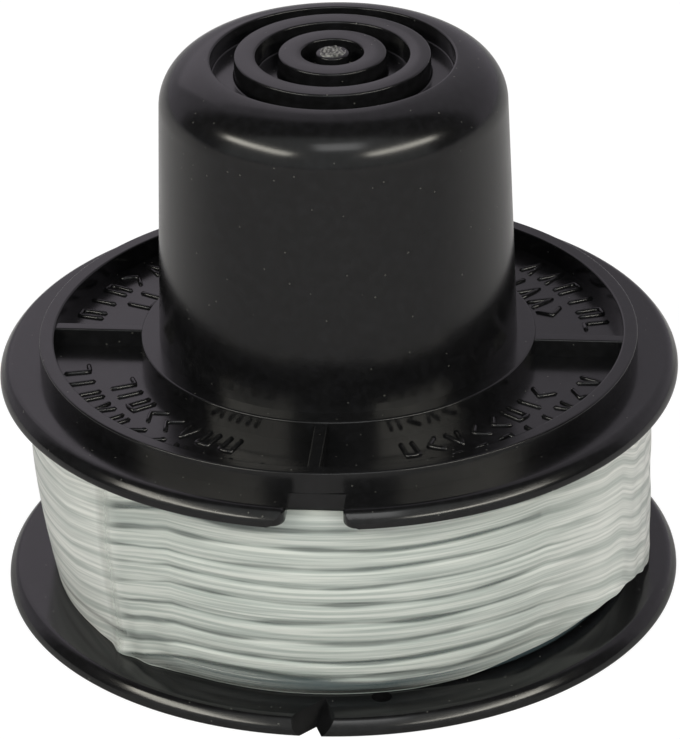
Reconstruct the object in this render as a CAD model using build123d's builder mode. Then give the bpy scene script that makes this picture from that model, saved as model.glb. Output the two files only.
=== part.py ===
"""Bump-feed line spool for a garden string trimmer, wound with line and wrapped in clear film.

The spool body is one injection moulding: two flanges on a hollow drum, with a round bump knob
that rises from the upper flange. The line is a roll of turns on the drum, and a band of clear film
holds the turns until the spool is fitted. Millimetres, +Z up along the spool's axis, origin at the
centre of the lower flange's underside. The line notches face -Y.
"""

import os
from math import cos, radians, sin

from build123d import *

# Flanges
flange_radius = 33.5
flange_depth = 8.0
flange_thickness = 1.75
winding_width = 20.8

# Drum that carries the line, hollow from below, with a pilot bore at its mouth
drum_wall = 2.1
pilot_wall = 1.8
pilot_depth = 6.5

# Ring wall, collar and radial ribs that stand on the upper flange
flange_margin = 4.05
ring_wall = 1.45
ring_height = 2.15
collar_radius = 19.4
rib_count = 4
rib_thickness = 1.35
rib_height = 1.8

# Bump knob
knob_base_radius = 17.6
knob_top_radius = 16.85
knob_crown = 0.05
knob_wall = 1.75
knob_side_height = 24.6
shoulder_rise = 4.75
shoulder_steps = 6
lip_radius = 11.77
recess_depth = 1.8
top_wall = 2.0
outer_ring_radii = (7.42, 9.47)
outer_ring_height = 2.15
inner_ring_radii = (3.0, 5.2)
inner_ring_height = 2.35
sprue_radius = 1.6
sprue_height = 2.3

# Index lugs inside the drum, in two tiers that are half a step apart
lug_count = 4
lug_width = 5.0
lug_depth = 2.6
lug_height = 4.0
lower_lug_base = 7.0
tier_gap = 3.0

# Line notch in the upper flange, line groove and line hole in the lower flange
notch_width = 5.4
notch_corner = 1.3
groove_width_at_rim = 2.2
groove_spread = 0.85
groove_slope = 32.0
groove_turn = 16.0
groove_length = 16.0
line_hole_diameter = 1.95
line_hole_inset = 4.2
line_hole_angle = -77.8

# Line
line_diameter = 1.65
turn_gap = 0.535
line_below_rim = 2.95
taper_share = 0.376
taper_height = 14.0
turn_valley = 0.62
winding_clearance = 0.05

# Film
film_thickness = 0.1
film_clearance = 0.05
film_bottom = 4.7
film_top_gap = 0.3

# Levels and radii that follow from the sizes above
upper_underside = flange_thickness + winding_width
upper_top = upper_underside + flange_thickness
ring_top = upper_top + ring_height
shoulder_base = ring_top + knob_side_height
lip_level = shoulder_base + shoulder_rise
recess_floor = lip_level - recess_depth
ceiling = recess_floor - top_wall
drum_radius = flange_radius - flange_depth
drum_core_radius = drum_radius - drum_wall
pilot_radius = drum_radius - pilot_wall
knob_core_radius = knob_top_radius - knob_wall
ring_outer_radius = flange_radius - flange_margin
ring_inner_radius = ring_outer_radius - ring_wall
line_hole_radius = flange_radius - line_hole_inset
wound_radius = flange_radius - line_below_rim

CORNER = (Align.MIN, Align.MIN)


def section_wall(inner, outer, bottom, top):
    """A wall of the half section, between two radii and two levels."""
    with Locations((inner, bottom)):
        Rectangle(outer - inner, top - bottom, align=CORNER)


def shoulder_point(step):
    """A point of the knob's quarter-round shoulder, from the side (0) to the lip (shoulder_steps)."""
    sweep = radians(90 * step / shoulder_steps)
    reach = knob_top_radius - lip_radius
    return (lip_radius + reach * cos(sweep), shoulder_base + shoulder_rise * sin(sweep))


# Spool body: one moulding, its round section first, then what stands on it and is cut from it
with BuildPart() as spool_body:
    with BuildSketch(Plane.XZ):
        # Knob: drafted side with a slight crown, round shoulder, recessed top and hollow core
        side_middle = ((knob_base_radius + knob_top_radius) / 2 + knob_crown, (ring_top + shoulder_base) / 2)
        with BuildLine():
            foot = Line((knob_base_radius, upper_underside), (knob_base_radius, ring_top))
            Bezier(foot @ 1, side_middle, (knob_top_radius, shoulder_base))
            shoulder = Polyline(*[shoulder_point(step) for step in range(shoulder_steps + 1)])
            Polyline(shoulder @ 1, (lip_radius, recess_floor), (0, recess_floor), (0, ceiling))
            Polyline((0, ceiling), (knob_core_radius, ceiling), (knob_core_radius, upper_underside), foot @ 0)
        make_face()
        # Rings and sprue stub in the recess
        section_wall(*outer_ring_radii, recess_floor, recess_floor + outer_ring_height)
        section_wall(*inner_ring_radii, recess_floor, recess_floor + inner_ring_height)
        section_wall(0, sprue_radius, recess_floor, recess_floor + sprue_height)
        # Flanges, drum, ring wall and collar
        section_wall(pilot_radius, flange_radius, 0, flange_thickness)
        section_wall(knob_core_radius, flange_radius, upper_underside, upper_top)
        section_wall(pilot_radius, drum_radius, 0, pilot_depth)
        section_wall(drum_core_radius, drum_radius, pilot_depth, upper_top)
        section_wall(ring_inner_radius, ring_outer_radius, upper_underside, ring_top)
        section_wall(knob_core_radius, collar_radius, upper_underside, ring_top)
    revolve(axis=Axis.Z)

    # Radial ribs across the channel, from the collar to the ring wall and lower than both
    rib_inner = collar_radius - ring_wall / 2
    rib_outer = ring_outer_radius - ring_wall / 2
    with BuildSketch(Plane.XY.offset(upper_top)):
        with PolarLocations((rib_inner + rib_outer) / 2, rib_count):
            Rectangle(rib_outer - rib_inner, rib_thickness)
    extrude(amount=rib_height)

    # Index lugs on the drum's inner wall
    lug_root = drum_core_radius + drum_wall / 2
    upper_lug_base = lower_lug_base + lug_height + tier_gap
    for tier, base in enumerate((lower_lug_base, upper_lug_base)):
        with BuildSketch(Plane.XY.offset(base)):
            with PolarLocations(lug_root, lug_count, start_angle=tier * 180 / lug_count):
                Rectangle(lug_root - drum_core_radius + lug_depth, lug_width, align=(Align.MAX, Align.CENTER))
        extrude(amount=lug_height)

    # Line notch through the upper flange's margin, down to the ring wall's face, with rounded corners
    with BuildSketch(Plane.XY.offset(upper_underside)):
        Rectangle(notch_width, 2 * flange_radius, align=(Align.CENTER, Align.MAX))
        Circle(ring_outer_radius, mode=Mode.SUBTRACT)
    extrude(amount=flange_thickness, mode=Mode.SUBTRACT)
    notch_edges = spool_body.edges().filter_by(Axis.Z).filter_by(
        lambda edge: abs(abs(edge.center().X) - notch_width / 2) < notch_corner / 10
        and edge.center().Y < 0
        and upper_underside < edge.center().Z < upper_top
    )
    notch_depth = flange_radius - ring_outer_radius
    fillet(notch_edges, radius=min(notch_corner, notch_depth / 3))

    # Slanted V groove that leads the line over the lower rim
    rise = radians(groove_slope)
    turn = radians(groove_turn)
    groove_path = Vector(sin(turn) * cos(rise), cos(turn) * cos(rise), sin(rise))
    groove_drop = groove_width_at_rim / 2 / groove_spread
    groove_start = Vector(0, -flange_radius, -groove_drop) - groove_path * (groove_length / 4)
    groove_across = Vector(-cos(turn), sin(turn), 0)
    with BuildSketch(Plane(groove_start, x_dir=groove_across, z_dir=groove_path)):
        with BuildLine():
            half_mouth = groove_length * groove_spread
            Polyline((0, 0), (half_mouth, groove_length), (-half_mouth, groove_length), close=True)
        make_face()
    extrude(amount=groove_length, mode=Mode.SUBTRACT)

    # Line hole through the lower flange
    hole_turn = radians(line_hole_angle)
    hole_place = (line_hole_radius * cos(hole_turn), line_hole_radius * sin(hole_turn), flange_thickness)
    with Locations(hole_place):
        Hole(line_hole_diameter / 2, depth=flange_thickness)

# Line winding: one roll, its outer face ridged by the turns and drawn in towards the lower flange
turn_step = line_diameter + turn_gap
gap_count = 1 + int((winding_width - 1.5 * line_diameter) / turn_step)
winding_bottom = flange_thickness + winding_clearance
winding_top = upper_underside - winding_clearance
gap_levels = [flange_thickness + line_diameter + number * turn_step for number in range(gap_count)]


def crest_radius(level):
    """Outer radius of a turn: full at the top, drawn in towards the drum below the taper's height."""
    fall = max(0, 1 - (level - flange_thickness) / taper_height)
    return wound_radius - taper_share * (wound_radius - drum_radius) * fall**1.5


with BuildPart() as line_winding:
    with BuildSketch(Plane.XZ):
        ridges = [(crest_radius(winding_bottom) - turn_valley, winding_bottom)]
        turn_base = winding_bottom
        for gap in gap_levels + [winding_top]:
            middle = (turn_base + gap) / 2
            ridges += [(crest_radius(middle), middle), (crest_radius(middle) - turn_valley, gap)]
            turn_base = gap
        wound_core = drum_radius + winding_clearance
        with BuildLine():
            Polyline(
                (wound_core, winding_bottom),
                *ridges,
                (wound_core, winding_top),
                close=True,
            )
        make_face()
    revolve(axis=Axis.Z)

# Film wrap: a thin clear band round the turns, open below where the lowest turns show
with BuildPart() as film_wrap:
    film_inner = wound_radius + film_clearance
    film_height = upper_underside - film_top_gap - film_bottom
    with BuildSketch(Plane.XY.offset(film_bottom)):
        Circle(film_inner + film_thickness)
        Circle(film_inner, mode=Mode.SUBTRACT)
    extrude(amount=film_height)

os.makedirs("parts", exist_ok=True)
for node, piece in (
    ("spool_body", spool_body),
    ("line_winding", line_winding),
    ("film_wrap", film_wrap),
):
    piece.part.label = node
    export_step(piece.part, f"parts/{node}.step")
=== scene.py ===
"""Looks of a trimmer line spool: black moulded body, clear nylon line and clear film, on a white table.

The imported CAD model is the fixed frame. Metres, +Z up along the spool's axis, line notches towards -Y.
"""

import bmesh
import bpy
import numpy as np
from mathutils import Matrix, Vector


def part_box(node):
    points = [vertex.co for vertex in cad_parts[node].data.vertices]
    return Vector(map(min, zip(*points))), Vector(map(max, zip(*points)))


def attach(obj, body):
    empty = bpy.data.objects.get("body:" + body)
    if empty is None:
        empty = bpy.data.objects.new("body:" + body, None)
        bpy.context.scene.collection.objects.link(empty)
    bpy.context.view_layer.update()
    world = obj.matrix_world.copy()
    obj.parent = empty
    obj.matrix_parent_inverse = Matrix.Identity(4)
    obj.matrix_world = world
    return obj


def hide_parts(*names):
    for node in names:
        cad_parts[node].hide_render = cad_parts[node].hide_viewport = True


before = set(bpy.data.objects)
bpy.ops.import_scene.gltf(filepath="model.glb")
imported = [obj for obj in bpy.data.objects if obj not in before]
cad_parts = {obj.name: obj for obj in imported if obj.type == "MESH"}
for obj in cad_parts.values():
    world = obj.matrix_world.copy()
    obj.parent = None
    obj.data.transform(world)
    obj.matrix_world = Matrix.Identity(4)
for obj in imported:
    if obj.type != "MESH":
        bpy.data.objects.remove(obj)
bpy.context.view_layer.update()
MM = 0.001

# Camera: a long lens that looks down on the spool, a little to the right of the line notches and
# slightly turned about its own axis. The values come from a fit to the photograph's outlines.
lens_elevation = np.radians(27.88)
lens_azimuth = np.radians(5.5)
lens_roll = np.radians(-1.23)
lens_distance = 521.8 * MM
lens_target = np.array([0.08, 0.008, 21.89]) * MM
lens_length = 257.14
sensor_width = 36.0


def placed(name, data):
    """An object with a mesh, lamp or camera, put into the scene at the origin."""
    made = bpy.data.objects.new(name, data)
    bpy.context.scene.collection.objects.link(made)
    return made


def aimed(way, target, distance, roll):
    """Matrix of a camera or lamp that stands away from a target along a way and looks back at it.

    Its right side is level, and the roll then turns it about the line of sight.
    """
    back = np.array(way) / np.linalg.norm(way)
    right = np.cross([0, 0, 1], back)
    right /= np.linalg.norm(right)
    up = np.cross(back, right)
    matrix = np.eye(4)
    matrix[:3, 0] = np.cos(roll) * right + np.sin(roll) * up
    matrix[:3, 1] = np.cos(roll) * up - np.sin(roll) * right
    matrix[:3, 2] = back
    matrix[:3, 3] = target + distance * back
    return matrix.T.tolist()


sight_way = (
    np.sin(lens_azimuth) * np.cos(lens_elevation),
    -np.cos(lens_azimuth) * np.cos(lens_elevation),
    np.sin(lens_elevation),
)
camera = placed("camera", bpy.data.cameras.new("camera"))
camera.matrix_world = aimed(sight_way, lens_target, lens_distance, lens_roll)
camera.data.lens = lens_length
camera.data.sensor_width = sensor_width
camera.data.clip_start = lens_distance / 20
camera.data.clip_end = lens_distance * 20
bpy.context.scene.camera = camera
bpy.context.scene.view_settings.view_transform = "Standard"


# Table: a white matt board under the spool. It is white to the camera, and it keeps a faint shadow. Right
# under the lower flange its white glow is left out, a painted shadow there.
def linear(hex_colour):
    """An sRGB hex colour as linear red, green, blue and an alpha of 1."""
    code = hex_colour.lstrip("#")
    shown = np.array([int(code[i:i + 2], 16) for i in (0, 2, 4)]) / 255
    light = np.where(shown <= 0.04045, shown / 12.92, ((shown + 0.055) / 1.055) ** 2.4)
    return (*light.tolist(), 1.0)


def add(tree, kind, inputs=None, **settings):
    """Adds a node with its settings. Each input takes a plain value or another node's output."""
    made = tree.nodes.new(kind)
    for name, value in settings.items():
        setattr(made, name, value)
    for name, value in (inputs or {}).items():
        if isinstance(value, bpy.types.NodeSocket):
            tree.links.new(value, made.inputs[name])
        else:
            made.inputs[name].default_value = value
    return made


def cleared(owner):
    """The emptied node tree of a material or of the world."""
    owner.use_nodes = True
    owner.node_tree.nodes.clear()
    return owner.node_tree


table_reach = 1500 * MM
table_colour = linear("#bcbcbd")
table_behind = linear("#e4e4e3")
table_fade = 40 * MM
table_glow = 0.9
# Radii over which the glow fades out under the lower flange: a painted shadow.
table_shadow_reach = np.array([30.4, 31.6]) * MM
table_shade = linear("#7c7c7c")

table_mesh = bpy.data.meshes.new("table")
corners = np.array([[-1, -1], [1, -1], [1, 1], [-1, 1]]) * table_reach
table_mesh.from_pydata([(x, y, 0.0) for x, y in corners], [], [(0, 1, 2, 3)])
table = placed("table", table_mesh)
board = bpy.data.materials.new("white_board")
tree = cleared(board)
ray = add(tree, "ShaderNodeLightPath")
place = add(tree, "ShaderNodeNewGeometry")
spot = add(tree, "ShaderNodeSeparateXYZ", {0: place.outputs["Position"]})
behind_range = {"Value": spot.outputs["Y"], "From Min": -table_fade, "From Max": table_fade}
behind = add(tree, "ShaderNodeMapRange", behind_range)
board_mix = {"Factor": behind.outputs[0], "A": table_colour, "B": table_behind}
board_colour = add(tree, "ShaderNodeMix", board_mix, data_type="RGBA")
paint = add(tree, "ShaderNodeBsdfDiffuse", {"Color": board_colour.outputs["Result"]})
shade = add(tree, "ShaderNodeBsdfDiffuse", {"Color": table_shade})
away = add(tree, "ShaderNodeVectorMath", {0: place.outputs["Position"]}, operation="LENGTH")
# The glow is left out under the lower flange, which paints the shadow there.
unshadowed_range = {"Value": away.outputs["Value"], "From Min": table_shadow_reach[0], "From Max": table_shadow_reach[1]}
unshadowed_range |= {"To Max": table_glow}
glow_outside_shadow = add(tree, "ShaderNodeMapRange", unshadowed_range)
glow = add(tree, "ShaderNodeEmission", {"Color": (1, 1, 1, 1), "Strength": glow_outside_shadow.outputs[0]})
seen = add(tree, "ShaderNodeAddShader", {0: glow.outputs[0], 1: shade.outputs[0]})
board_look = {0: ray.outputs["Is Camera Ray"], 1: paint.outputs[0], 2: seen.outputs[0]}
surface = add(tree, "ShaderNodeMixShader", board_look)
add(tree, "ShaderNodeOutputMaterial", {"Surface": surface.outputs[0]})
table_mesh.materials.append(board)

# Studio light: a pale tent behind and in front, with a dark gap overhead from side to side. Two strip
# lamps and a soft box in front draw the streaks along the knob's shoulder, and a soft box stands behind.
tent_back = linear("#a6a1a9")
tent_front = linear("#b0b3b2")
tent_gap = linear("#333333")
gap_back = 0.34
gap_front = -0.33
gap_fade = 0.1
tent_fill = 0.6

world = bpy.data.worlds.new("tent")
bpy.context.scene.world = world
tree = cleared(world)
direction = add(tree, "ShaderNodeTexCoord")
axes = add(tree, "ShaderNodeSeparateXYZ", {0: direction.outputs["Generated"]})
to_back = {"Value": axes.outputs["Y"], "From Min": gap_back - gap_fade, "From Max": gap_back + gap_fade}
backwards = add(tree, "ShaderNodeMapRange", to_back, interpolation_type="SMOOTHSTEP")
to_front = {"Value": axes.outputs["Y"], "From Min": gap_front + gap_fade, "From Max": gap_front - gap_fade}
forwards = add(tree, "ShaderNodeMapRange", to_front, interpolation_type="SMOOTHSTEP")
rear_mix = {"Factor": backwards.outputs[0], "A": tent_gap, "B": tent_back}
rear = add(tree, "ShaderNodeMix", rear_mix, data_type="RGBA")
tent_mix = {"Factor": forwards.outputs[0], "A": rear.outputs["Result"], "B": tent_front}
tent = add(tree, "ShaderNodeMix", tent_mix, data_type="RGBA")
ray = add(tree, "ShaderNodeLightPath")
seen_mix = {"Factor": ray.outputs["Is Camera Ray"], "A": tent.outputs["Result"], "B": (1, 1, 1, 1)}
seen = add(tree, "ShaderNodeMix", seen_mix, data_type="RGBA")
filled = {0: ray.outputs["Is Diffuse Ray"], 1: tent_fill, 2: 1.0}
fill = add(tree, "ShaderNodeMath", filled, operation="MULTIPLY_ADD")
glow = add(tree, "ShaderNodeBackground", {"Color": seen.outputs["Result"], "Strength": fill.outputs[0]})
add(tree, "ShaderNodeOutputWorld", {"Surface": glow.outputs[0]})

# Each lamp has its way from the aim, its distance and size in millimetres, a tilt in degrees, a brightness
# and a colour.
lamp_aim = np.array([0.0, 0.0, 35.0]) * MM
lamps = (
    ("strip_left", (-0.64, -0.56, 0.49), 600, (480, 80), -1, 10.0, "#fffbee"),
    ("strip_right", (0.68, -0.53, 0.46), 600, (480, 80), 0, 10.0, "#fffbee"),
    ("front_box", (0.10, -0.61, 0.70), 700, (310, 180), 0, 2.2, "#ffffff"),
    ("rear_box", (-0.36, 0.80, 0.56), 450, (300, 260), 0, 0.3, "#f0e6f2"),
)
for name, way, reach, size, tilt, brightness, colour in lamps:
    lamp = bpy.data.lights.new(name, "AREA")
    lamp.shape = "RECTANGLE"
    lamp.size, lamp.size_y = np.array(size) * MM
    lamp.color = linear(colour)[:3]
    lamp.energy = brightness * np.pi * lamp.size * lamp.size_y
    stand = placed(name, lamp)
    stand.matrix_world = aimed(way, lamp_aim, reach * MM, np.radians(tilt))

# Spool body: one injection moulding in black nylon, from the gate mark on the knob to the lower flange. It
# has a round shoulder, sloped rims and small radii on its edges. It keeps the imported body's main sizes: a
# turned section, from which the notch, the groove and the hole are cut, with ribs and lugs added.
flange_reach = 33.5 * MM
upper_reach = 33.42 * MM
lower_web = 1.75 * MM
upper_underside = 22.55 * MM
channel_floor = 24.3 * MM
ring_top = 26.45 * MM
ring_reach = np.array([28.0, 29.45]) * MM
collar_reach = 19.4 * MM
drum_reach = np.array([23.4, 25.5]) * MM
pilot_reach = 23.7 * MM
pilot_depth = 6.5 * MM
knob_foot = 17.6 * MM
knob_core = 15.1 * MM
knob_crown = 0.05 * MM
shoulder_base = 51.05 * MM
shoulder_size = np.array([5.08, 4.75]) * MM
lip_reach = 11.77 * MM
recess_floor = 54.0 * MM
knob_ceiling = 52.0 * MM
outer_ring = np.array([7.42, 9.47]) * MM
outer_ring_top = 56.15 * MM
inner_ring = np.array([3.0, 5.2]) * MM
inner_ring_top = 56.35 * MM
gate_reach = 1.6 * MM
gate_top = 56.3 * MM
edge_round = 0.22 * MM
rim_size = np.array([0.8, 1.05]) * MM
rim_round = np.array([0.5, 0.4]) * MM
lathe_steps = 240
shoulder_steps = 24
side_steps = 8
weld_reach = 0.002 * MM


def rounded(corners, steps=5):
    """A path through corners of (across, up, rounding). A rounded corner becomes a bend of a few points.

    The bend starts and ends at the rounding's distance from the corner and is a parabola between.
    """
    places = np.array([corner[:2] for corner in corners])
    path = [places[0]]
    share = np.linspace(0, 1, steps)[:, None]
    for before, place, after, corner in zip(places, places[1:], places[2:], corners[1:]):
        if corner[2] == 0:
            path.append(place)
            continue
        start = place + corner[2] * (before - place) / np.linalg.norm(before - place)
        end = place + corner[2] * (after - place) / np.linalg.norm(after - place)
        path.extend((1 - share) ** 2 * start + 2 * share * (1 - share) * place + share ** 2 * end)
    path.append(places[-1])
    return np.array(path)


def grid_mesh(name, points, close_rows=False, close_columns=False, caps=False):
    """A mesh of quads between neighbours in a grid of points, joined end to end or capped where asked."""
    rows, columns = points.shape[:2]
    index = np.arange(rows * columns).reshape(rows, columns)
    ends = [index[0].tolist(), index[-1, ::-1].tolist()] if caps else []
    index = np.vstack([index, index[:1]]) if close_rows else index
    index = np.hstack([index, index[:, :1]]) if close_columns else index
    quads = np.stack([index[:-1, :-1], index[1:, :-1], index[1:, 1:], index[:-1, 1:]], axis=-1)
    mesh = bpy.data.meshes.new(name)
    mesh.from_pydata(points.reshape(-1, 3), [], quads.reshape(-1, 4).tolist() + ends)
    mesh.shade_smooth()
    return mesh


def joined(name, meshes):
    """One mesh from several, with points that fall together welded and every face turned outwards."""
    shape = bmesh.new()
    for mesh in meshes:
        shape.from_mesh(mesh)
    bmesh.ops.remove_doubles(shape, verts=shape.verts, dist=weld_reach)
    bmesh.ops.recalc_face_normals(shape, faces=shape.faces)
    whole = bpy.data.meshes.new(name)
    shape.to_mesh(whole)
    shape.free()
    whole.shade_smooth()
    return whole


def turned(section, steps):
    """Points of a section of (radius, height), turned about the spool's axis in even steps."""
    angle = np.linspace(0, 2 * np.pi, steps, endpoint=False)[:, None]
    out, up = section[:, 0], section[:, 1]
    return np.stack([out * np.cos(angle), out * np.sin(angle), up + 0 * angle], axis=-1)


def bar(section, near, far, angle):
    """A straight bar: a closed section of (across, up) carried outwards from near to far at an angle."""
    out = np.array([near, far])[:, None] + 0 * section[:, 0]
    across, up = section[:, 0], section[:, 1] + 0 * out
    places = np.stack([
        out * np.cos(angle) - across * np.sin(angle),
        out * np.sin(angle) + across * np.cos(angle),
        up,
    ], axis=-1)
    return grid_mesh("bar", places, close_columns=True, caps=True)


def ridge(near, far, top):
    """Corners of a ring on the recess's floor: up its inner face, over its top and down its outer face."""
    places = ((near, recess_floor), (near, top), (far, top), (far, recess_floor))
    return [(*place, edge_round) for place in places]


def rim_bend(reach, web):
    """Corners of a flange's rim: a slope from its upper face to its outer face, rounded at both ends."""
    return (reach - rim_size[0], web, rim_round[0]), (reach, web - rim_size[1], rim_round[1])


sweep = np.linspace(np.pi / 2, 0, shoulder_steps + 1)[1:]
shoulder = shoulder_size * np.stack([np.cos(sweep), np.sin(sweep)], 1) + (lip_reach, shoulder_base)
fall = np.linspace(0, 1, side_steps + 1)[1:-1]
side_reach = shoulder[-1, 0] + (knob_foot - shoulder[-1, 0]) * fall + 2 * knob_crown * fall * (1 - fall)
side = np.stack([side_reach, shoulder_base + (ring_top - shoulder_base) * fall], 1)
knob_section = [
    (0, gate_top, 0), (gate_reach, gate_top, edge_round), (gate_reach, recess_floor, edge_round),
    *ridge(*inner_ring, inner_ring_top), *ridge(*outer_ring, outer_ring_top),
    (lip_reach, recess_floor, edge_round), (lip_reach, shoulder_base + shoulder_size[1], edge_round),
    *[(*place, 0) for place in shoulder], *[(*place, 0) for place in side], (knob_foot, ring_top, 0),
]
flange_section = [
    (collar_reach, ring_top, edge_round), (collar_reach, channel_floor, 0),
    (ring_reach[0], channel_floor, 0), (ring_reach[0], ring_top, edge_round),
    (ring_reach[1], ring_top, edge_round), (ring_reach[1], channel_floor, 0),
    *rim_bend(upper_reach, channel_floor), (upper_reach, upper_underside, edge_round),
    (drum_reach[1], upper_underside, edge_round), (drum_reach[1], lower_web, 0),
    *rim_bend(flange_reach, lower_web), (flange_reach, 0, edge_round),
]
hollow_section = [
    (pilot_reach, 0, edge_round), (pilot_reach, pilot_depth, 0),
    (drum_reach[0], pilot_depth, edge_round / 2), (drum_reach[0], upper_underside, 0),
    (knob_core, upper_underside, edge_round), (knob_core, knob_ceiling, 0), (0, knob_ceiling, 0),
]
turned_body = turned(rounded(knob_section + flange_section + hollow_section), lathe_steps)
lathe_mesh = joined("turned_body", [grid_mesh("turning", turned_body, close_rows=True)])

# The cutters: the line notch widens with a small round towards both faces of the upper flange and towards
# its rim, the slanted groove is a lopsided V, and the line hole is round. The notch and the groove lie a
# little to one side. A hair's breadth keeps faces that meet from falling together.
hair = 0.02 * MM
cutter_margin = 1.0 * MM
notch_place = 0.45 * MM
notch_half = 2.7 * MM
notch_corner = 1.3 * MM
notch_round = 0.5 * MM
groove_place = -0.4 * MM
groove_half = 1.1 * MM
groove_spread = np.array([0.85, 1.3])
groove_slope = np.radians(34)
groove_turn = np.radians(16)
groove_length = 16.0 * MM
hole_radius = 0.975 * MM
hole_reach = 29.3 * MM
hole_angle = np.radians(-77.8)

bend = np.linspace(0, np.pi / 2, 9)[:, None]
levels = np.concatenate([
    [upper_underside - cutter_margin],
    upper_underside + notch_round * (1 - np.cos(bend[:, 0])),
    channel_floor - notch_round * (1 - np.cos(bend[::-1, 0])),
    [channel_floor + cutter_margin],
])
low_gap = np.clip((upper_underside + notch_round - levels) / notch_round, 0, 1)
high_gap = np.clip((levels - channel_floor + notch_round) / notch_round, 0, 1)
past = np.maximum(upper_underside - levels, 0) + np.maximum(levels - channel_floor, 0)
spread = notch_round * (2 - np.sqrt(1 - low_gap ** 2) - np.sqrt(1 - high_gap ** 2)) + past
corner_x = notch_half + notch_corner
corner_y = notch_corner - np.sqrt(upper_reach ** 2 - corner_x ** 2)
outside = (corner_x + 3 * cutter_margin, -flange_reach - cutter_margin)
right_side = np.concatenate([
    np.stack([notch_half + spread, 0 * spread - ring_reach[1] - hair], 1)[None],
    np.stack([
        corner_x - (notch_corner - spread) * np.cos(bend),
        corner_y - (notch_corner - spread) * np.sin(bend),
    ], axis=-1),
    np.broadcast_to(outside, (1, len(spread), 2)),
])
notch_outline = np.concatenate([right_side, right_side[::-1] * (-1, 1)]) + (notch_place, 0)
notch_points = np.concatenate([notch_outline, (levels + 0 * notch_outline[:, :, 0])[:, :, None]], axis=-1)
notch_cutter = grid_mesh("notch", notch_points.transpose(1, 0, 2), close_columns=True, caps=True)

groove_way = np.array([
    np.sin(groove_turn) * np.cos(groove_slope),
    np.cos(groove_turn) * np.cos(groove_slope),
    np.sin(groove_slope),
])
groove_across = np.array([np.cos(groove_turn), -np.sin(groove_turn), 0.0])
groove_rise = np.cross(groove_across, groove_way)
groove_foot = np.array([groove_place, -flange_reach, -groove_half / groove_spread[0]])
groove_start = groove_foot - groove_way * groove_length / 4
groove_aside = groove_spread[:, None] * np.stack([-groove_across, groove_across])
groove_lip = groove_length * (groove_rise + groove_aside)
groove_section = groove_start + np.vstack([np.zeros(3), groove_lip])
groove_points = np.stack([groove_section, groove_section + groove_length * groove_way])
groove_cutter = grid_mesh("groove", groove_points, close_columns=True, caps=True)

round_hole = np.linspace(0, 2 * np.pi, 32, endpoint=False)
hole_x = hole_reach * np.cos(hole_angle) + hole_radius * np.cos(round_hole)
hole_y = hole_reach * np.sin(hole_angle) + hole_radius * np.sin(round_hole)
hole_ends = [np.stack([hole_x, hole_y, 0 * hole_x + end], 1) for end in (-lower_web, 2 * lower_web)]
hole_cutter = grid_mesh("hole", np.stack(hole_ends), close_columns=True, caps=True)

cutters = placed("cutters", joined("cutters", [notch_cutter, groove_cutter, hole_cutter]))
lathe = placed("turned_body", lathe_mesh)
cut = lathe.modifiers.new("cut", "BOOLEAN")
cut.object = cutters
cut.operation = "DIFFERENCE"
cut.solver = "EXACT"
cut_mesh = bpy.data.meshes.new_from_object(lathe.evaluated_get(bpy.context.evaluated_depsgraph_get()))
bpy.data.objects.remove(lathe)
bpy.data.objects.remove(cutters)

# The four ribs across the channel, lower than the walls they join, and the drive lugs in the drum.
quarters = np.radians([0, 90, 180, 270])
rib_half = 0.675 * MM
rib_top = 26.1 * MM
rib_root = 0.6 * MM
lug_half = 2.5 * MM
lug_reach = np.array([20.8, 23.6]) * MM
lug_height = 4.0 * MM
lug_bases = np.array([7.0, 14.0]) * MM
sharp_angle = np.radians(30)

half_rib = [(rib_half, channel_floor - hair, 0), (rib_half, rib_top, edge_round)]
rib_section = rounded(half_rib + [(-across, up, bent) for across, up, bent in half_rib[::-1]])
details = [bar(rib_section, collar_reach - rib_root, ring_reach[0] + rib_root, angle) for angle in quarters]
for tier, base in enumerate(lug_bases):
    top = base + lug_height
    lug_section = np.array([(lug_half, base), (lug_half, top), (-lug_half, top), (-lug_half, base)])
    details += [bar(lug_section, *lug_reach, angle) for angle in quarters + tier * np.pi / 4]
body_mesh = joined("moulded_body", [cut_mesh, *details])
body_mesh.set_sharp_from_angle(angle=sharp_angle)
body = placed("moulded_body", body_mesh)
settle = body.modifiers.new("settle", "WEIGHTED_NORMAL")
settle.weight = 60
settle.keep_sharp = True

# Moulded black nylon: the polished mould leaves it glossy. It shows a faint mottle, patches that are a
# little duller, and pale specks of dust.
body_colour = linear("#131314")
mottle_colour = linear("#1b1b1d")
mottle_spacing = 0.9 * MM
mottle_range = (0.42, 0.68)
dust_colour = linear("#50504c")
dust_spacing = 1.15 * MM
dust_size = 0.075
dust_share = 0.5
body_roughness = (0.15, 0.22)
haze_spacing = 6.0 * MM
haze_range = (0.3, 0.7)
body_ior = 1.5

plastic = bpy.data.materials.new("moulded_black_nylon")
tree = cleared(plastic)
place = add(tree, "ShaderNodeTexCoord")
dust_look = {"Vector": place.outputs["Object"], "Scale": 1 / dust_spacing}
dust = add(tree, "ShaderNodeTexVoronoi", dust_look)
near = add(tree, "ShaderNodeMath", {0: dust.outputs["Distance"], 1: dust_size}, operation="LESS_THAN")
chance = add(tree, "ShaderNodeSeparateColor", {0: dust.outputs["Color"]})
chosen = add(tree, "ShaderNodeMath", {0: chance.outputs[0], 1: dust_share}, operation="LESS_THAN")
speck = add(tree, "ShaderNodeMath", {0: near.outputs[0], 1: chosen.outputs[0]}, operation="MULTIPLY")
mottle_look = {"Vector": place.outputs["Object"], "Scale": 1 / mottle_spacing}
mottle_look |= {"Detail": 5.0, "Roughness": 0.7}
mottle = add(tree, "ShaderNodeTexNoise", mottle_look)
mottled_range = {"Value": mottle.outputs[0], "From Min": mottle_range[0], "From Max": mottle_range[1]}
mottled = add(tree, "ShaderNodeMapRange", mottled_range)
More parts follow.
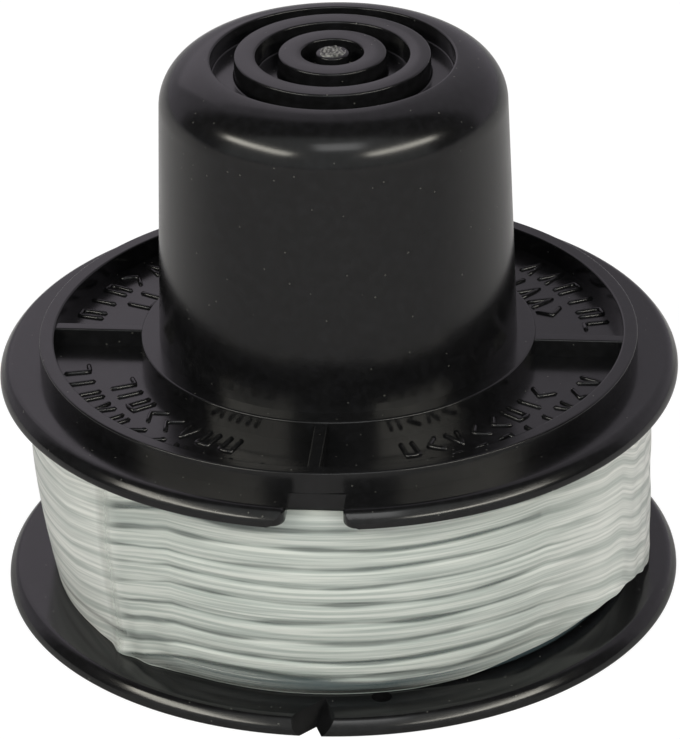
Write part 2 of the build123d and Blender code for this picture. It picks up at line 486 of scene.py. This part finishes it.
base_mix = {"Factor": mottled.outputs[0], "A": body_colour, "B": mottle_colour}
base = add(tree, "ShaderNodeMix", base_mix, data_type="RGBA")
colour_mix = {"Factor": speck.outputs[0], "A": base.outputs["Result"], "B": dust_colour}
colour = add(tree, "ShaderNodeMix", colour_mix, data_type="RGBA")
haze_look = {"Vector": place.outputs["Object"], "Scale": 1 / haze_spacing, "Detail": 3.0}
haze = add(tree, "ShaderNodeTexNoise", haze_look)
gloss_range = {"Value": haze.outputs[0], "From Min": haze_range[0], "From Max": haze_range[1]}
gloss_range |= {"To Min": body_roughness[0], "To Max": body_roughness[1]}
gloss = add(tree, "ShaderNodeMapRange", gloss_range)
shader_look = {"Base Color": colour.outputs["Result"], "Roughness": gloss.outputs[0], "IOR": body_ior}
shader = add(tree, "ShaderNodeBsdfPrincipled", shader_look)
add(tree, "ShaderNodeOutputMaterial", {"Surface": shader.outputs[0]})
body_mesh.materials.append(plastic)
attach(body, "root")
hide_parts("spool_body")

# Raised marks: low rounded strokes that the mould leaves on the channel's floor, two rows in each of the
# four fields between the ribs. They are plain bars and chevrons of this model's own, and spell nothing.
# A row has its radius in millimetres and its number of marks. The outer row fills the spread.
mark_rows = ((25.9, 11), (22.2, 8))
mark_spread = np.radians(70)
mark_step = mark_spread / mark_rows[0][1]
mark_size = np.array([0.72, 1.2]) * MM
mark_width = 0.5 * MM
mark_height = 0.28 * MM
mark_tip = 0.05
mark_kinds = (
    ((0, -1), (0, 1)),
    ((-0.8, -1), (0.8, 0), (-0.8, 1)),
    ((-0.9, -1), (0, 1), (0.9, -1)),
    ((-0.9, 1), (-0.9, -1), (0.9, -1)),
    ((-0.8, -1), (-0.8, 1), (0.8, 1), (0.8, -1)),
)


def stroke(places):
    """A half-round ridge along places of (x, y) on the channel's floor, drawn to a point at both ends."""
    along = np.gradient(places, axis=0)
    along /= np.linalg.norm(along, axis=1, keepdims=True)
    aside = np.stack([-along[:, 1], along[:, 0]], 1)
    ends = along[[0, -1]] * mark_width / 2
    spine = np.concatenate([places[:1] - ends[:1], places, places[-1:] + ends[1:]])
    aside = np.concatenate([aside[:1], aside, aside[-1:]])
    swell = np.ones(len(spine))
    swell[[0, -1]] = mark_tip
    girth = np.linspace(0, np.pi, 7)
    half = swell[:, None] * mark_width / 2 * np.cos(girth)
    flat = spine[:, None] + half[:, :, None] * aside[:, None]
    up = channel_floor - hair + swell[:, None] * mark_height * np.sin(girth)
    return grid_mesh("stroke", np.concatenate([flat, up[:, :, None]], axis=-1))


def mark(kind, reach, angle):
    """One mark at a radius and angle: its corners, with points added between them, as one stroke."""
    corners = np.array(kind) * mark_size
    share = np.linspace(0, 1, 5)[:-1, None]
    spans = [before + share * (after - before) for before, after in zip(corners, corners[1:])]
    aside, out = np.concatenate([*spans, corners[-1:]]).T
    out = reach + out
    turn = angle - aside / reach
    return stroke(np.stack([out * np.cos(turn), out * np.sin(turn)], 1))


pick = np.random.default_rng(5)
marks = []
for field in np.radians([45, 135, 225, 315]):
    for row_reach, count in mark_rows:
        for number in np.arange(count) + 0.5 - count / 2:
            kind = mark_kinds[pick.integers(len(mark_kinds))]
            marks.append(mark(kind, row_reach * MM, field + number * mark_step))
marks_mesh = joined("raised_marks", marks)
marks_piece = placed("raised_marks", marks_mesh)
marks_mesh.materials.append(plastic)
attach(marks_piece, "root")

# Gate mark: the torn stub of plastic in the middle of the knob's top, where the mould was filled. It is
# greyish and rough, unlike the polished rings round it. It falls off at its edge, which wobbles a little.
gate_rings = 12
gate_steps = 40
gate_share = 0.93
gate_wobble = 0.03
gate_rise = 0.1 * MM
gate_fall = 0.4 * MM
gate_rough = 0.16 * MM
gate_colour = linear("#3d3d3c")
gate_pale = linear("#a3a39f")
gate_grain = 0.3 * MM
gate_range = (0.4, 0.65)
gate_roughness = 0.4

share = np.linspace(0, 1, gate_rings)[:, None]
angle = np.linspace(0, 2 * np.pi, gate_steps, endpoint=False)
rough = np.random.default_rng(3).normal(0, 1, (gate_rings, gate_steps))
rough = (rough + np.roll(rough, 1, 1) + np.roll(rough, -1, 1)) / 2
out = gate_reach * gate_share * share * (1 + gate_wobble * np.sin(3 * angle + 1))
up = gate_top + gate_rise + gate_rough * rough * share * (1 - share ** 6) - gate_fall * share ** 8
gate_points = np.stack([out * np.cos(angle), out * np.sin(angle), up], axis=-1)
gate_mesh = joined("gate_mark", [grid_mesh("gate", gate_points, close_columns=True)])
gate = placed("gate_mark", gate_mesh)
torn = bpy.data.materials.new("torn_black_nylon")
tree = cleared(torn)
place = add(tree, "ShaderNodeTexCoord")
torn_look = {"Vector": place.outputs["Object"], "Scale": 1 / gate_grain, "Detail": 3.0}
torn_noise = add(tree, "ShaderNodeTexNoise", torn_look)
torn_range = {"Value": torn_noise.outputs[0], "From Min": gate_range[0], "From Max": gate_range[1]}
torn_share = add(tree, "ShaderNodeMapRange", torn_range)
torn_mix = {"Factor": torn_share.outputs[0], "A": gate_colour, "B": gate_pale}
torn_colour = add(tree, "ShaderNodeMix", torn_mix, data_type="RGBA")
torn_shader = {"Base Color": torn_colour.outputs["Result"], "Roughness": gate_roughness, "IOR": body_ior}
shader = add(tree, "ShaderNodeBsdfPrincipled", torn_shader)
add(tree, "ShaderNodeOutputMaterial", {"Surface": shader.outputs[0]})
gate_mesh.materials.append(torn)
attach(gate, "root")

# Line winding: about 6 m of 1.65 mm nylon line, extruded clear, wound round the drum in layers of which
# two show. Each turn lies nearly level and steps up at the back. Below, the turns are drawn in.
line_radius = 0.825 * MM
line_turns = 10
line_steps = 150
line_sides = 14
line_start = 2.6 * MM
line_pitch = 2.12 * MM
climb_at_back = 0.95
middle_lift = 0.38
line_wavers = ((0.09, 11.3, 1), (0.06, 23.7, 2), (0.05, 41.1, 0))
wound_radius = 30.5 * MM
taper_depth = 1.9 * MM
taper_height = 14.0 * MM
taper_power = 1.5
layer_depth = 1.35 * MM
top_gap = 0.1 * MM

wound_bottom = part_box("line_winding")[0].z
wound_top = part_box("line_winding")[1].z


def turn_height(turns):
    """Height of the line's centre after so many turns, counted at the front.

    Each turn climbs mostly at the back. Halfway up the turns lie higher, by half a sine wave, and three
    small waves of other lengths make them waver. The lift and the waves are in millimetres.
    """
    climb = turns - climb_at_back * np.sin(2 * np.pi * turns) / (2 * np.pi)
    lifted = middle_lift * np.sin(np.pi * np.clip(turns / line_turns, 0, 1))
    waver = sum(size * np.sin(rate * turns + begin) for size, rate, begin in line_wavers)
    return line_start + line_pitch * climb + (lifted + waver) * MM


def crest_reach(height):
    """Outer radius of the wound turns: full at the top, drawn in by a power below the taper's height."""
    fall = np.clip(1 - (height - wound_bottom) / taper_height, 0, 1)
    return wound_radius - taper_depth * fall ** taper_power


def wound_line(lift, shift, steps, sides):
    """Points of a helix of line: a circle carried round the axis, its ends drawn to a point."""
    turns = np.linspace(-0.5, line_turns - 0.5, int(line_turns * steps))
    lowest, highest = wound_bottom + line_radius, wound_top - top_gap - line_radius
    height = np.clip(turn_height(turns) + shift, lowest, highest)
    middle = crest_reach(height) - line_radius + lift
    angle = 2 * np.pi * turns - np.pi / 2
    girth = np.linspace(0, 2 * np.pi, sides, endpoint=False)
    from_end = np.minimum(np.arange(len(turns)), np.arange(len(turns))[::-1])
    thick = line_radius * np.clip(from_end, 0, 1)[:, None]
    out = middle[:, None] + thick * np.cos(girth)
    up = height[:, None] + thick * np.sin(girth)
    return np.stack([out * np.cos(angle)[:, None], out * np.sin(angle)[:, None], up], axis=-1)


outer_coil = wound_line(0.0, 0.0, line_steps, line_sides)
inner_coil = wound_line(-layer_depth, line_pitch / 2, line_steps // 2, line_sides - 4)
coils = [grid_mesh("coil", coil, close_columns=True) for coil in (outer_coil, inner_coil)]
line_mesh = joined("nylon_turns", coils)
line = placed("nylon_turns", line_mesh)

# Extruded nylon: smooth and glossy. Clear line shows dark where the drum and the flanges lie behind it.
line_colour = linear("#414e52")
line_roughness = 0.12
line_ior = 1.53

nylon = bpy.data.materials.new("extruded_clear_nylon")
tree = cleared(nylon)
line_look = {"Base Color": line_colour, "Roughness": line_roughness, "IOR": line_ior}
shader = add(tree, "ShaderNodeBsdfPrincipled", line_look)
add(tree, "ShaderNodeOutputMaterial", {"Surface": shader.outputs[0]})
line_mesh.materials.append(nylon)
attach(line, "root")
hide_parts("line_winding")

# Film wrap: a band of clear stretch film pulled nearly twice round the turns, from a cut edge at the front
# left. At both sides it was pulled down, so its bands lie lower there, and at the right it stands off the
# turns. Its top edge is folded in over the last turn. Bearings are in degrees, and -90 is the front.
film_outer_edge = -131
film_inner_edge = -46
first_bearing = -240
film_top = wound_top + hair
film_columns = 600
film_rows = 160
film_lift = 0.06 * MM
film_layer = 0.08 * MM
film_fold = 0.6 * MM
overlap_span = (280, 360)

# The foot's height, the height from which the film is white, and how far the bands were pulled down, with
# a small wave at the right corner.
foot_angles = (-200, -131, -71, -61, -50, -40, -27, -20, -15, -10, -5, 8, 40)
foot_heights = np.array((1.8, 1.8, 1.8, 2.1, 2.8, 3.0, 4.3, 4.5, 4.0, 2.9, 2.25, 2.25, 1.9)) * MM
inner_foot = 2.8 * MM
white_angles = (-200, -131, -129, -120, -113, -101, -93, -86, -78, -70, -62, -54, -46, -30, 40)
white_heights = np.array((1, 1, 2.5, 4.2, 4.6, 4.5, 4.1, 3.75, 3.55, 3.75, 4.3, 5.2, 5.8, 4, 1)) * MM
drop_angles = (-240, -200, -165, -145, -131, -125, -118, -45, -29, -22, -9, 0, 30, 60)
drop_heights = np.array((0, 3.0, 4.0, 3.4, 1.9, 0.9, 0, 0, 1.4, 2.2, 4.6, 5.2, 3.0, 0)) * MM
wave_size = 0.34 * MM
wave_place = -20
wave_width = 9
wave_rate = 0.4

# The bands: they waver, shift along the top edge, and sag into the gaps where the film still follows them.
band_wavers = ((0.05, 5, 1.9), (0.04, 11, -1.3))
roof_height = 0.6 * MM
roof_shift = 0.4
gap_share = 0.25
film_sag = 0.14 * MM
sag_drop = 0.5 * MM

# The shape: a flare and ripples at the right, a curl at the foot by the cut edge, and two creases near it.
flare_reach = 30.65 * MM
flare_angles = (-38, -24, 20, 60)
ripple_size = 0.05 * MM
ripple_waves = ((0.5, 0.9), (0.9, -0.5))
curl_size = 0.8 * MM
curl_height = 2.2 * MM
curl_place = -130
curl_width = 7
curl_wave = 0.4
curl_rate = 0.7
crease_size = 0.3 * MM
crease_places = ((-127, 2.5), (-119, 3.0))
crease_height = 5.0 * MM
crease_spread = 4.0 * MM

# The layers: where two lie together, how hazy the clear foot is, a clear fold at the left, and the start.
# The clear foot's haze is its own at the front, and its rise towards the sides is a painted reflection.
doubled_angles = (-133, -129, -52, -30)
# Haze of the clear foot by bearing: low at the front, and the rise towards the sides paints a pale
# reflection.
clear_angles = (-131, -115, -100, -90, -75, -62, -50, -40)
foot_haze_and_sheen = (0.34, 0.4, 0.26, 0.12, 0.12, 0.4, 0.72, 0.88)
fold_angles = (-172, -150, -138, -131)
fold_heights = np.array((3.0, 3.6, 4.1, 4.3)) * MM
fold_half = 0.45 * MM
fold_ramp = 20
begin_ramp = 4


def bell(value, middle, width):
    """A hump that is one at the middle: e to the power of minus the squared distance in widths."""
    return np.exp(-((value - middle) / width) ** 2)


def keep(mesh, name, *columns):
    """Stores three numbers for each point of the film as an attribute, for the material to read."""
    numbers = np.stack([np.broadcast_to(column, (film_columns, film_rows)) for column in columns], axis=-1)
    mesh.attributes.new(name, "FLOAT_VECTOR", "POINT").data.foreach_set("vector", numbers.ravel())


wrapped = np.linspace(0, 720 + film_outer_edge - film_inner_edge, film_columns)[:, None]
bearing = (film_outer_edge - wrapped - first_bearing) % 360 + first_bearing
angle = np.radians(bearing)
share = np.linspace(0, 1, film_rows)[None, :]
foot = np.interp(bearing, foot_angles, foot_heights, period=360)
foot = np.where(wrapped > 360, np.minimum(foot, inner_foot), foot)
height = foot + share * (film_top - foot)
drop = np.interp(bearing, drop_angles, drop_heights, period=360)
wave = np.sin(wave_rate * (bearing - wave_place)) * bell(bearing, wave_place, wave_width)
drop = drop + wave_size * wave
pulled = height + drop

# The phase counts the turns up the film, with a whole number at each gap between two of them.
gap_numbers = np.arange(-3, 14)
phase = np.interp(pulled, turn_height(gap_numbers + 0.5), gap_numbers)
phase = phase + sum(size * np.sin(rate * angle + slant * phase) for size, rate, slant in band_wavers)
phase = phase - roof_shift * np.clip((height - film_top + roof_height) / roof_height, 0, 1)
from_gap = np.clip(np.abs(phase - np.round(phase)) / gap_share, 0, 1)
above = height - np.interp(bearing, white_angles, white_heights, period=360)
fold_growth = np.clip((bearing - fold_angles[0]) / fold_ramp, 0, 1)
fold_size = fold_half * fold_growth * (bearing < film_outer_edge + 1)
fold_gap = np.abs(height - np.interp(bearing, fold_angles, fold_heights)) - fold_size
above = np.where(fold_size > 0, np.minimum(above, fold_gap), above)

# The reach follows the crests, and what lifts the film or folds it in is added to it.
overlap = np.interp(wrapped, overlap_span, (0, 1))
right_off = np.interp(bearing, flare_angles, (0, 1, 1, 0)) * (1 - overlap)
followed = crest_reach(height) - film_sag * (1 - from_gap ** 2) * np.clip(1 - drop / sag_drop, 0, 1)
reach = followed + right_off * np.maximum(flare_reach - followed, 0)
curl = bell(bearing, curl_place, curl_width) * (1 + curl_wave * np.sin(curl_rate * bearing))
reach = reach + curl_size * curl * np.exp((foot - height) / curl_height)
crease = sum(bell(bearing, place, width) for place, width in crease_places)
reach = reach + crease_size * crease * bell(height, crease_height, crease_spread)
ripple = sum(np.sin(around * bearing + upwards * height / MM) for around, upwards in ripple_waves)
reach = reach + ripple_size * right_off * ripple
folded = np.clip((height - wound_top + line_radius) / line_radius, 0, 1)
turned_in = line_radius * (1 - np.sqrt(1 - folded ** 2)) + film_fold * (share == 1)
reach = reach + film_lift + film_layer * (1 - overlap) - turned_in
film_points = np.stack([reach * np.cos(angle), reach * np.sin(angle), height], axis=-1)
film_mesh = grid_mesh("stretched_film", film_points)
film_mesh.flip_normals()
film = placed("stretched_film", film_mesh)

doubled = np.interp(bearing, doubled_angles, (1, 0, 0, 1))
# The clear foot's haze: its own at the front, a painted reflection where it rises towards the sides.
foot_haze_and_sheen_share = np.interp(bearing, clear_angles, foot_haze_and_sheen, period=360)
begun = np.clip(wrapped / begin_ramp, 0, 1)
keep(film_mesh, "grain", np.radians(wrapped) * wound_radius / MM, pulled / MM, phase)
keep(film_mesh, "edges", above / MM, (height - foot) / MM, 0.0)
keep(film_mesh, "layers", doubled, foot_haze_and_sheen_share, begun)

# Clear stretch film: it shows white, in drawn-out streaks, over each crest, and it stays clear along the
# gaps and over the lowest turns. The white over the crests is a painted highlight, and the grey towards the
# gaps is painted shade between the turns. The attributes hold millimetres, and so do the lengths and widths
# of streaks, gaps, bands and edges.
# Doubled film, at the sides, is whiter than single film: partly for its two layers, partly as painted light.
film_colour = linear("#f4f6f2")
film_single = linear("#dfe3de")
# Painted shade: the grey the film takes towards the gaps between the turns.
film_gap_shade = linear("#b0bcb7")
film_roughness = 0.35
film_ior = 1.5
streak_length = 16.667
streak_width = 0.3125
streak_haze = 0.28
streak_range = (0.4, 0.62)
streak_bump = 0.3
streak_depth = 0.1 * MM
gap_run = 14.2857
gap_shuffle = 3.7
gap_noise = (0.3, 0.7)
gap_width = (-0.3, 0.3)
# Painted highlight and shade: how fully white covers the crests, and how the tint runs from white on the
# crests to grey at the gaps.
crest_highlight_cover = 0.95
band_fade = 0.6
band_pale = (0.5, 1.0)
white_edge = (-0.5, 0.12)
foot_haze = 0.7
foot_line = 0.16

# Single film, then doubled film, which is whiter and softer. The doubled film lies at the sides, and its
# extra white is partly its two layers and partly painted light that brings the sides up to the front.
gap_softness = (0.34, 0.7)
gap_haze = (0.4, 0.88)
even_share = (0.38, 0.65)

clear = bpy.data.materials.new("clear_stretch_film")
tree = cleared(clear)
grain = add(tree, "ShaderNodeAttribute", attribute_name="grain")
run = add(tree, "ShaderNodeSeparateXYZ", {0: grain.outputs["Vector"]})
edges = add(tree, "ShaderNodeAttribute", attribute_name="edges")
edge = add(tree, "ShaderNodeSeparateXYZ", {0: edges.outputs["Vector"]})
layers = add(tree, "ShaderNodeAttribute", attribute_name="layers")
layer = add(tree, "ShaderNodeSeparateXYZ", {0: layers.outputs["Vector"]})
streak_scale = (1 / streak_length, 1 / streak_width, 0)
streak_place = add(tree, "ShaderNodeMapping", {"Vector": grain.outputs["Vector"], "Scale": streak_scale})
streaks = add(tree, "ShaderNodeTexNoise", {"Vector": streak_place.outputs[0], "Scale": 1.0, "Detail": 4.0})
gap_number = add(tree, "ShaderNodeMath", {0: run.outputs["Z"]}, operation="ROUND")
away = add(tree, "ShaderNodeMath", {0: run.outputs["Z"], 1: gap_number.outputs[0]}, operation="SUBTRACT")
away = add(tree, "ShaderNodeMath", {0: away.outputs[0]}, operation="ABSOLUTE")
away = add(tree, "ShaderNodeMath", {0: away.outputs[0], 1: line_pitch / MM}, operation="MULTIPLY")
run_place = add(tree, "ShaderNodeCombineXYZ", {"X": run.outputs["X"], "Y": gap_number.outputs[0]})
width_look = {"Vector": run_place.outputs[0], "Scale": (1 / gap_run, gap_shuffle, 0)}
width_place = add(tree, "ShaderNodeMapping", width_look)
noise_look = {"Vector": width_place.outputs[0], "Scale": 1.0, "Detail": 2.0}
width_noise = add(tree, "ShaderNodeTexNoise", noise_look)
width_range = {"Value": width_noise.outputs[0], "From Min": gap_noise[0], "From Max": gap_noise[1]}
width_range |= {"To Min": gap_width[0], "To Max": gap_width[1]}
width = add(tree, "ShaderNodeMapRange", width_range)
past = add(tree, "ShaderNodeMath", {0: away.outputs[0], 1: width.outputs[0]}, operation="SUBTRACT")
soft_range = {"Value": layer.outputs["X"], "To Min": gap_softness[0], "To Max": gap_softness[1]}
soft = add(tree, "ShaderNodeMapRange", soft_range)
veil_range = {"Value": layer.outputs["X"], "To Min": gap_haze[0], "To Max": gap_haze[1]}
veil = add(tree, "ShaderNodeMapRange", veil_range)
# Painted highlight: the film is nearly opaque white over the crests and thinner towards the gaps.
crest_highlight_range = {"Value": past.outputs[0], "From Max": soft.outputs[0]}
crest_highlight_range |= {"To Min": veil.outputs[0], "To Max": crest_highlight_cover}
crest_highlight = add(tree, "ShaderNodeMapRange", crest_highlight_range, interpolation_type="SMOOTHSTEP")
white_range = {"Value": edge.outputs["X"], "From Min": white_edge[0], "From Max": white_edge[1]}
white = add(tree, "ShaderNodeMapRange", white_range, interpolation_type="SMOOTHSTEP")
foot_range = {"Value": edge.outputs["Y"], "From Min": foot_line, "From Max": foot_line / 2}
foot_range |= {"To Min": layer.outputs["Y"], "To Max": foot_haze}
hem = add(tree, "ShaderNodeMapRange", foot_range, interpolation_type="SMOOTHSTEP")
haze = add(tree, "ShaderNodeMix", {"Factor": white.outputs[0], "A": hem.outputs[0], "B": crest_highlight.outputs[0]})
thin_range = {"Value": streaks.outputs[0], "To Min": -streak_haze, "To Max": streak_haze}
thin = add(tree, "ShaderNodeMapRange", thin_range)
haze = add(tree, "ShaderNodeMath", {0: haze.outputs[0], 1: thin.outputs[0]}, operation="ADD", use_clamp=True)
begun_haze = {0: haze.outputs[0], 1: layer.outputs["Z"]}
haze = add(tree, "ShaderNodeMath", begun_haze, operation="MULTIPLY")
drawn_range = {"Value": streaks.outputs[0], "From Min": streak_range[0], "From Max": streak_range[1]}
drawn = add(tree, "ShaderNodeMapRange", drawn_range)
# Painted highlight and shade: the tint is white over the crests and grey towards the gaps.
painted_crest_light_range = {"Value": past.outputs[0], "From Max": band_fade}
painted_crest_light_range |= {"To Min": band_pale[0], "To Max": band_pale[1]}
painted_crest_light = add(tree, "ShaderNodeMapRange", painted_crest_light_range, interpolation_type="SMOOTHSTEP")
# Doubled film is paler throughout, partly for its two layers and partly as painted light on the sides.
even_range = {"Value": layer.outputs["X"], "To Min": even_share[0], "To Max": even_share[1]}
even = add(tree, "ShaderNodeMapRange", even_range)
paler = add(tree, "ShaderNodeMapRange", {"Value": drawn.outputs[0], "To Min": even.outputs[0]})
pale = add(tree, "ShaderNodeMath", {0: painted_crest_light.outputs[0], 1: paler.outputs[0]}, operation="MULTIPLY")
# Doubled film takes the whiter colour, partly for its two layers and partly as painted light on the sides.
white_mix = {"Factor": layer.outputs["X"], "A": film_single, "B": film_colour}
whiter = add(tree, "ShaderNodeMix", white_mix, data_type="RGBA")
tint_mix = {"Factor": pale.outputs[0], "A": film_gap_shade, "B": whiter.outputs["Result"]}
tint = add(tree, "ShaderNodeMix", tint_mix, data_type="RGBA")
fine_look = {"Height": streaks.outputs[0], "Strength": streak_bump, "Distance": streak_depth}
fine = add(tree, "ShaderNodeBump", fine_look)
film_look = {"Base Color": tint.outputs["Result"], "Roughness": film_roughness, "IOR": film_ior}
film_look |= {"Alpha": haze.outputs[0], "Normal": fine.outputs[0]}
shader = add(tree, "ShaderNodeBsdfPrincipled", film_look)
add(tree, "ShaderNodeOutputMaterial", {"Surface": shader.outputs[0]})
film_mesh.materials.append(clear)
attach(film, "root")
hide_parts("film_wrap")
